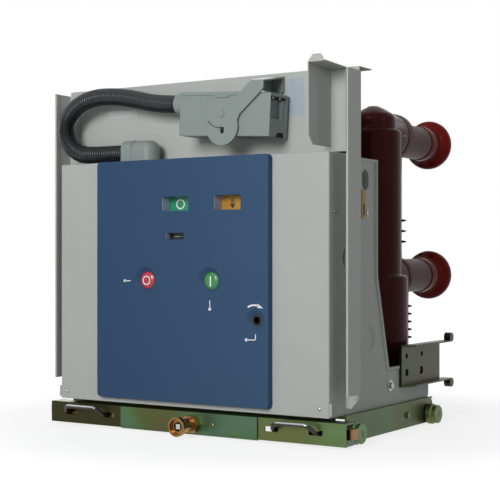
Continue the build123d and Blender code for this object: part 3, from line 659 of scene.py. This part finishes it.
def print_line(shape, x0, z0, x1, z1, width):
    """A printed stroke between two places."""
    along = Vector((x1 - x0, z1 - z0)).normalized()
    side = Vector((-along.y, along.x)) * width / 2
    add_plate(
        shape,
        [
            (x0 + side.x, z0 + side.y),
            (x1 + side.x, z1 + side.y),
            (x1 - side.x, z1 - side.y),
            (x0 - side.x, z0 - side.y),
        ],
        PANEL_FACE - INK,
        PANEL_FACE,
    )


def print_dot(shape, x, z, radius):
    add_plate(shape, circle(x, z, radius, 20), PANEL_FACE - INK, PANEL_FACE)


marks = bmesh.new()
print_line(marks, -130, 273.5, -116, 273.5, STROKE)
print_dot(marks, -130, 273.5, 2.7)
print_line(marks, 61, 240, 61, 226, STROKE)
print_dot(marks, 61, 225, ARROW_DOT)
print_line(marks, 157, 183, 157, 172.2, STROKE)
print_line(marks, 157.8, 173, 139, 173, STROKE)
print_dot(marks, 138, 173, ARROW_DOT)
arc_outer = circle(*CRANK_MARK, 29.2, 14, 120, -46)
arc_inner = circle(*CRANK_MARK, 26.2, 14, 120, -46)
band(arc_outer, arc_inner, PANEL_FACE - INK, PANEL_FACE, marks, False)
add_plate(marks, [(161.5, 236.5), (172.5, 228.5), (161, 229)], PANEL_FACE - INK, PANEL_FACE)
outward(marks)
finished("panel_prints", marks, white_ink, "breaker")

# Signs on the flags, buttons and counter
FLAG_FACE = 12.0
FLAG_MIDDLE = (-20, 414)
RING_WIDENED = 1.05


def widened(points):
    """A circle drawn a little wider than high."""
    middle = FLAG_MIDDLE[0]
    return [(middle + RING_WIDENED * (x - middle), z) for x, z in points]


flag_ring = bmesh.new()
band(
    widened(circle(*FLAG_MIDDLE, 9.2)),
    widened(circle(*FLAG_MIDDLE, 7.0)),
    FLAG_FACE - INK,
    FLAG_FACE,
    flag_ring,
    True,
)
outward(flag_ring)
finished("flag_ring", flag_ring, white_ink, "breaker")

arrow = bmesh.new()
add_plate(arrow, [(88, 412), (94, 403.5), (100, 412)], FLAG_FACE - INK, FLAG_FACE)
for low in (412.6, 416.2, 419.8):
    add_plate(
        arrow,
        [(90, low), (98, low + 0.8), (98, low + 2.6), (90, low + 1.8)],
        FLAG_FACE - INK,
        FLAG_FACE,
    )
outward(arrow)
finished("flag_arrow", arrow, black_ink, "breaker")

BUTTON_FACE = -9.1
SIGN_FRONT = BUTTON_FACE - 0.1
SIGN_BACK = BUTTON_FACE + 0.7
TRIP_BUTTON = (-82, 274.5)
trip_sign = bmesh.new()
band(circle(*TRIP_BUTTON, 8.6), circle(*TRIP_BUTTON, 6.7), SIGN_FRONT, SIGN_BACK, trip_sign, True)
outward(trip_sign)
finished("trip_sign", trip_sign, white_ink, "trip_button")
close_sign = bmesh.new()
add_plate(
    close_sign,
    [(58.9, 265), (61.5, 265), (61.5, 283.5), (58.9, 283.5)],
    SIGN_FRONT,
    SIGN_BACK,
)
outward(close_sign)
finished("close_sign", close_sign, white_ink, "close_button")


def digits(name, text, x, y, z, height, material, body):
    """Plain digits as a thin mesh."""
    curve = bpy.data.curves.new(name, "FONT")
    curve.body = text
    curve.size = height / 1000
    curve.align_x = "CENTER"
    curve.align_y = "CENTER"
    curve.extrude = 0.00005
    holder = bpy.data.objects.new(name + "_text", curve)
    scene.collection.objects.link(holder)
    graph = bpy.context.evaluated_depsgraph_get()
    mesh = bpy.data.meshes.new_from_object(holder.evaluated_get(graph))
    bpy.data.objects.remove(holder)
    mesh.transform(Matrix.Translation(at(x, y, z)) @ Matrix.Rotation(math.radians(90), 4, "X"))
    shape = bmesh.new()
    shape.from_mesh(mesh)
    bmesh.ops.remove_doubles(shape, verts=shape.verts, dist=MERGE_WITHIN)
    return finished(name, shape, material, body)


digits("counter_digits", "0 0 1", -17, 1.4, 355, 8.4, white_ink, "breaker")

# Light linings of the window reveals
linings = bmesh.new()
for x, z, width, height, depth in (
    (-15, 414, 58, 26, 23.5),
    (98, 414, 56, 26, 23.5),
    (-16, 355, 40, 12, 12.6),
):
    left = x - width / 2
    add_block(
        linings,
        (left, PANEL_FACE + 0.6, z - height / 2 + 0.3),
        (left + 0.5, PANEL_FACE + depth, z + height / 2 - 0.3),
    )
outward(linings)
finished("window_linings", linings, reveal_grey, "breaker")

# Bare labels on the mask plate
MASK_FACE = 60.0
LABEL_CORNER = 1.5
for name, material, corners in (
    ("label_left", paper_white, (-228, -156, 586.5, 601)),
    ("label_right", paper_blue, (182, 212, 567, 634)),
):
    x0, x1, z0, z1 = corners
    label = bmesh.new()
    outline = []
    for cx, cz, start in (
        (x1 - LABEL_CORNER, z1 - LABEL_CORNER, 0),
        (x0 + LABEL_CORNER, z1 - LABEL_CORNER, 90),
        (x0 + LABEL_CORNER, z0 + LABEL_CORNER, 180),
        (x1 - LABEL_CORNER, z0 + LABEL_CORNER, 270),
    ):
        outline += circle(cx, cz, LABEL_CORNER, 5, start, 90)
    add_plate(label, outline, MASK_FACE - 0.2, MASK_FACE)
    outward(label)
    finished(name, label, material, "breaker")

# Ochre edge strips on the side frames, with a near-black plate low down painted as the shade of a slot
HALF = 295.5
for side, name in ((1, "right"), (-1, "left")):
    strip = bmesh.new()
    add_block(strip, (side * HALF, 117, 385.5), (side * (HALF + 1.4), 133.5, 436.5))
    outward(strip)
    eased(strip)
    finished("edge_strip_" + name, strip, yellow_strip, "breaker")
    # Painted shade: a near-black plate stands for the dark inside of the slot
    slot = bmesh.new()
    add_block(slot, (side * (HALF + 1.3), 123.5, 391), (side * (HALF + 1.6), 128.5, 411))
    outward(slot)
    finished("edge_slot_" + name, slot, painted_shade, "breaker")

# Near-black plates painted as the shade in the hollows behind the lever's peg slot and in the plug's end
PLUG_PIVOT = (85.0, 571.0)
PLUG_ROLL = math.radians(3.2)


def hung(x, z):
    """A place of the plug, once it hangs at its angle."""
    along = x - PLUG_PIVOT[0]
    up = z - PLUG_PIVOT[1]
    return (
        PLUG_PIVOT[0] + along * math.cos(PLUG_ROLL) + up * math.sin(PLUG_ROLL),
        PLUG_PIVOT[1] - along * math.sin(PLUG_ROLL) + up * math.cos(PLUG_ROLL),
    )


def hung_corners(x0, x1, z0, z1):
    """The corners of a rectangle of the plug, once it hangs at its angle."""
    return [hung(x0, z0), hung(x1, z0), hung(x1, z1), hung(x0, z1)]


HOOD_FACE = -6.8
# Painted shade: a near-black plate behind the peg's slot
peg_room = bmesh.new()
peg_outline = circle(88.5, 543.5, 4.3, 16, 0, 180) + circle(88.5, 539.5, 4.3, 16, 180, 180)
add_plate(peg_room, [hung(x, z) for x, z in peg_outline], HOOD_FACE - 0.3, HOOD_FACE + 0.2)
outward(peg_room)
finished("peg_room", peg_room, painted_shade, "breaker")

PLUG_RIGHT = 183.0
PLUG_LOW = 532.0
PLUG_HIGH = 608.0
NOTCH_Y = 32.0
# Painted shade: near-black plates in the notch and the top slot of the plug's end
end_room = bmesh.new()
add_plate(
    end_room,
    hung_corners(PLUG_RIGHT - 3, PLUG_RIGHT - 2.6, PLUG_LOW + 0.4, PLUG_LOW + 8.6),
    NOTCH_Y - 13.5,
    NOTCH_Y + 13.5,
)
add_plate(
    end_room,
    hung_corners(PLUG_RIGHT - 8, PLUG_RIGHT - 1.5, PLUG_HIGH - 10.5, PLUG_HIGH - 6),
    -4.5,
    46.5,
)
outward(end_room)
finished("end_room", end_room, painted_shade, "breaker")
end_flange = bmesh.new()
add_plate(
    end_flange,
    hung_corners(PLUG_RIGHT - 8, PLUG_RIGHT - 1.2, PLUG_LOW + 31.5, PLUG_HIGH - 11),
    34,
    46.5,
)
outward(end_flange)
finished("end_flange", end_flange, plug_paint, "breaker")

# Painted shade: a near-black strip in the gap between the wing's foot and the cover; and the small tabs
# at the cover's low corners
joint = bmesh.new()
add_block(joint, (268.5, 57.6, 496.2), (297, 60, 500))
outward(joint)
finished("wing_joint", joint, painted_shade, "breaker")
corner_tab = bmesh.new()
for side in (1, -1):
    add_block(corner_tab, (side * HALF, 1.2, 48), (side * (HALF + 4.6), 3.2, 69))
outward(corner_tab)
eased(corner_tab)
finished("corner_tabs", corner_tab, cover_paint, "breaker")


# Screws, bolts and washers
def head_shape(kind):
    """One unit fastener head, of radius 1, standing on its seat."""
    shape = bmesh.new()
    if kind == "hexagon":
        sides = 6
        rows = [(1.0, 0.0), (1.0, 0.62), (0.90, 0.70)]
    elif kind == "washer":
        sides = 28
        rows = [(1.0, 0.0), (1.0, 0.11), (0.97, 0.14)]
    else:
        sides = 20
        rows = [(1.0, 0.0), (1.0, 0.16), (0.93, 0.36), (0.74, 0.52), (0.40, 0.60)]
    rings = []
    for radius, height in rows:
        rings.append(
            [
                shape.verts.new(
                    (
                        radius * math.cos(2 * math.pi * i / sides),
                        radius * math.sin(2 * math.pi * i / sides),
                        height,
                    )
                )
                for i in range(sides)
            ]
        )
    shape.faces.new(list(reversed(rings[0])))
    for lower, upper in zip(rings, rings[1:]):
        for i in range(sides):
            j = (i + 1) % sides
            shape.faces.new((lower[i], lower[j], upper[j], upper[i]))
    top = shape.faces.new(rings[-1])
    if kind == "recessed":
        bmesh.ops.inset_region(shape, faces=[top], thickness=0.12)
        for vertex in top.verts:
            vertex.co.z -= 0.22
    outward(shape)
    mesh = bpy.data.meshes.new("head_" + kind)
    shape.to_mesh(mesh)
    shape.free()
    holder = bpy.data.objects.new("head_" + kind, mesh)
    scene.collection.objects.link(holder)
    return holder


FULL_TURN = 6.283


def fastener_tree():
    """Puts one head on each point, facing its way, turned by chance."""
    tree = bpy.data.node_groups.new("fasteners", "GeometryNodeTree")
    face = tree.interface
    face.new_socket("Seats", in_out="INPUT", socket_type="NodeSocketGeometry")
    face.new_socket("Head", in_out="INPUT", socket_type="NodeSocketObject")
    face.new_socket("Turn seed", in_out="INPUT", socket_type="NodeSocketInt")
    face.new_socket("Finish", in_out="INPUT", socket_type="NodeSocketMaterial")
    face.new_socket("Fasteners", in_out="OUTPUT", socket_type="NodeSocketGeometry")
    make = tree.nodes.new
    link = tree.links.new
    entry = make("NodeGroupInput")
    leave = make("NodeGroupOutput")
    head = make("GeometryNodeObjectInfo")
    facing = make("GeometryNodeInputNamedAttribute")
    facing.data_type = "FLOAT_VECTOR"
    facing.inputs["Name"].default_value = "facing"
    size = make("GeometryNodeInputNamedAttribute")
    size.data_type = "FLOAT"
    size.inputs["Name"].default_value = "size"
    align = make("FunctionNodeAlignRotationToVector")
    align.axis = "Z"
    chance = make("FunctionNodeRandomValue")
    chance.data_type = "FLOAT"
    spin = make("FunctionNodeAxisAngleToRotation")
    turned = make("FunctionNodeRotateRotation")
    turned.rotation_space = "LOCAL"
    put = make("GeometryNodeInstanceOnPoints")
    real = make("GeometryNodeRealizeInstances")
    paint = make("GeometryNodeSetMaterial")
    numbers = [socket for socket in chance.inputs if socket.type == "VALUE" and socket.enabled]
    numbers[0].default_value = 0.0
    numbers[1].default_value = FULL_TURN
    link(entry.outputs["Seats"], put.inputs["Points"])
    link(entry.outputs["Head"], head.inputs["Object"])
    link(head.outputs["Geometry"], put.inputs["Instance"])
    link(entry.outputs["Turn seed"], chance.inputs["Seed"])
    link(facing.outputs["Attribute"], align.inputs["Vector"])
    link([s for s in chance.outputs if s.enabled][0], spin.inputs["Angle"])
    link(align.outputs["Rotation"], turned.inputs["Rotation"])
    link(spin.outputs["Rotation"], turned.inputs["Rotate By"])
    link(turned.outputs["Rotation"], put.inputs["Rotation"])
    link(size.outputs["Attribute"], put.inputs["Scale"])
    link(put.outputs["Instances"], real.inputs["Geometry"])
    link(real.outputs["Geometry"], paint.inputs["Geometry"])
    link(entry.outputs["Finish"], paint.inputs["Material"])
    link(paint.outputs["Geometry"], leave.inputs["Fasteners"])
    return tree


fasteners = fastener_tree()


def fastened(name, head, seats, material, body, seed):
    """Fastener heads on their seats: (place, way it faces, radius in mm)."""
    mesh = bpy.data.meshes.new(name + "_seats")
    mesh.from_pydata([tuple(at(*place)) for place, way, radius in seats], [], [])
    mesh.attributes.new("facing", "FLOAT_VECTOR", "POINT")
    mesh.attributes.new("size", "FLOAT", "POINT")
    for index, (place, way, radius) in enumerate(seats):
        mesh.attributes["facing"].data[index].vector = way
        mesh.attributes["size"].data[index].value = radius / 1000
    holder = bpy.data.objects.new(name + "_holder", mesh)
    scene.collection.objects.link(holder)
    modifier = holder.modifiers.new("fasteners", "NODES")
    modifier.node_group = fasteners
    sockets = fasteners.interface.items_tree
    named = {item.name: item.identifier for item in sockets if item.in_out == "INPUT"}
    modifier[named["Head"]] = head
    modifier[named["Turn seed"]] = seed
    modifier[named["Finish"]] = material
    graph = bpy.context.evaluated_depsgraph_get()
    result = bpy.data.meshes.new_from_object(holder.evaluated_get(graph))
    bpy.data.objects.remove(holder)
    shape = bmesh.new()
    shape.from_mesh(result)
    return finished(name, shape, material, body, 40.0)


pan_head = head_shape("recessed")
round_head = head_shape("round")
hex_head = head_shape("hexagon")
washer = head_shape("washer")
FORWARD = (0, -1, 0)
UPWARD = (0, 0, 1)
cover_seats = [((-281, 0, 59), FORWARD, 3.6), ((277, 0, 60), FORWARD, 3.6)]
side_seats = []
truck_seats = []
CHANNEL_FACE = 304.0
WASHER = (233.7, 80.8)
WASHER_THICKNESS = 1.4
POLE_PITCH = 210
FOOT_BOLTS_X = (-58, 58)
FOOT_BOLTS_Y = (292, 376)
BASE_TOP = 92
for side in (1, -1):
    sideways = (side, 0, 0)
    cover_seats.append(((side * HALF, 21, 395), sideways, 3.4))
    side_seats.append(((side * (HALF + 0.2), 141, 395.5), sideways, 4.4))
    truck_seats.append(((side * CHANNEL_FACE, 290, 20.5), sideways, 6.0))
fastened("cover_screws", pan_head, cover_seats, bright_zinc, "breaker", 3)
fastened("frame_screws", pan_head, side_seats, bright_zinc, "breaker", 5)
fastened("truck_bolts", hex_head, truck_seats, zinc_gold, "breaker", 6)
washer_seats = [((side * HALF, *WASHER), (side, 0, 0), 11.0) for side in (1, -1)]
fastened("boss_washers", washer, washer_seats, bright_zinc, "breaker", 7)
bolt_seats = [((side * (HALF + WASHER_THICKNESS), *WASHER), (side, 0, 0), 6.6) for side in (1, -1)]
for x in (-POLE_PITCH, 0, POLE_PITCH):
    for dx in FOOT_BOLTS_X:
        for y in FOOT_BOLTS_Y:
            bolt_seats.append(((x + dx, y, BASE_TOP), UPWARD, 7.5))
fastened("base_bolts", hex_head, bolt_seats, bright_zinc, "breaker", 8)
plug_seats = []
plug_screw_x, plug_screw_z = hung(PLUG_RIGHT - 1.6, PLUG_HIGH - 8.5)
for y in (4, 27):
    plug_seats.append(((plug_screw_x, y, plug_screw_z), (1, 0, 0), 2.6))
fastened("plug_screws", pan_head, plug_seats, bright_zinc, "breaker", 11)
fastened("beam_screw", round_head, [((57, 3, 17), FORWARD, 3.4)], copper, "beam", 13)
for template in (pan_head, round_head, hex_head, washer):
    bpy.data.objects.remove(template)


# Floor, light and background
GLOW = 1.25
NEAR_GLOW = 0.64
FAR_GLOW = 0.82
NEAR = 0.40
FAR = 0.85
FLOOR_SHADE = 0.60
FLOOR_HALF = 30
FLOOR_LEVEL = -0.0018


def seen_rays(tree):
    """1 for camera, glossy and transmission rays, else 0."""
    rays = tree.nodes.new("ShaderNodeLightPath")
    total = rays.outputs["Is Camera Ray"]
    for name in ("Is Glossy Ray", "Is Transmission Ray"):
        step = tree.nodes.new("ShaderNodeMath")
        step.operation = "ADD"
        step.use_clamp = True
        tree.links.new(total, step.inputs[0])
        tree.links.new(rays.outputs[name], step.inputs[1])
        total = step.outputs[0]
    return total


def white_ground(name, shade):
    """Diffuse floor that keeps the shadow near the object and reads as plain white farther off."""
    material = bpy.data.materials.new(name)
    material.use_nodes = True
    tree = material.node_tree
    tree.nodes.clear()
    make = tree.nodes.new
    link = tree.links.new
    out = make("ShaderNodeOutputMaterial")
    diffuse = make("ShaderNodeBsdfDiffuse")
    diffuse.inputs["Color"].default_value = (shade, shade, shade, 1)
    glow = make("ShaderNodeEmission")
    glow.inputs["Color"].default_value = (1, 1, 1, 1)
    glow.inputs["Strength"].default_value = GLOW
    place = make("ShaderNodeTexCoord")
    reach = make("ShaderNodeVectorMath")
    reach.operation = "LENGTH"
    share = make("ShaderNodeMapRange")
    share.interpolation_type = "SMOOTHSTEP"
    for index, value in ((1, NEAR), (2, FAR), (3, NEAR_GLOW), (4, FAR_GLOW)):
        share.inputs[index].default_value = value
    part = make("ShaderNodeMath")
    part.operation = "MULTIPLY"
    mix = make("ShaderNodeMixShader")
    link(place.outputs["Object"], reach.inputs[0])
    link(reach.outputs["Value"], share.inputs[0])
    link(seen_rays(tree), part.inputs[0])
    link(share.outputs[0], part.inputs[1])
    link(part.outputs[0], mix.inputs[0])
    link(diffuse.outputs[0], mix.inputs[1])
    link(glow.outputs[0], mix.inputs[2])
    link(mix.outputs[0], out.inputs["Surface"])
    return material


floor_mesh = bpy.data.meshes.new("floor")
floor_mesh.from_pydata(
    [(x * FLOOR_HALF, y * FLOOR_HALF, FLOOR_LEVEL) for x, y in ((-1, -1), (1, -1), (1, 1), (-1, 1))],
    [],
    [(0, 1, 2, 3)],
)
floor_mesh.materials.append(white_ground("floor_white", FLOOR_SHADE))
floor = bpy.data.objects.new("floor", floor_mesh)
scene.collection.objects.link(floor)

world = bpy.data.worlds.new("studio")
world.use_nodes = True
scene.world = world
sky = world.node_tree
sky.nodes.clear()
sky_out = sky.nodes.new("ShaderNodeOutputWorld")
sky_fill = sky.nodes.new("ShaderNodeBackground")
sky_fill.inputs["Color"].default_value = (0.97, 0.98, 1.0, 1)
sky_fill.inputs["Strength"].default_value = 0.20
sky_seen = sky.nodes.new("ShaderNodeBackground")
sky_seen.inputs["Color"].default_value = (1, 1, 1, 1)
sky_seen.inputs["Strength"].default_value = 1.0
sky_mix = sky.nodes.new("ShaderNodeMixShader")
sky.links.new(seen_rays(sky), sky_mix.inputs[0])
sky.links.new(sky_fill.outputs[0], sky_mix.inputs[1])
sky.links.new(sky_seen.outputs[0], sky_mix.inputs[2])
sky.links.new(sky_mix.outputs[0], sky_out.inputs["Surface"])


def softbox(name, place, target, width, height, watts):
    """A rectangular lamp that faces its target."""
    data = bpy.data.lights.new(name, "AREA")
    data.shape = "RECTANGLE"
    data.size = width
    data.size_y = height
    data.energy = watts
    lamp = bpy.data.objects.new(name, data)
    lamp.location = place
    lamp.rotation_euler = (Vector(target) - Vector(place)).to_track_quat("-Z", "Y").to_euler()
    scene.collection.objects.link(lamp)


softbox("key", (0.40, -3.5, 1.45), (0, -0.2, 0.33), 1.3, 1.3, 84)
softbox("glint", (2.4, -0.2, 1.5), (0.2, 0.1, 0.3), 0.05, 1.1, 2.5)
softbox("back", (-1.9, 2.4, 1.5), (0, 0.2, 0.4), 1.0, 1.4, 24)

scene.view_settings.view_transform = "Standard"
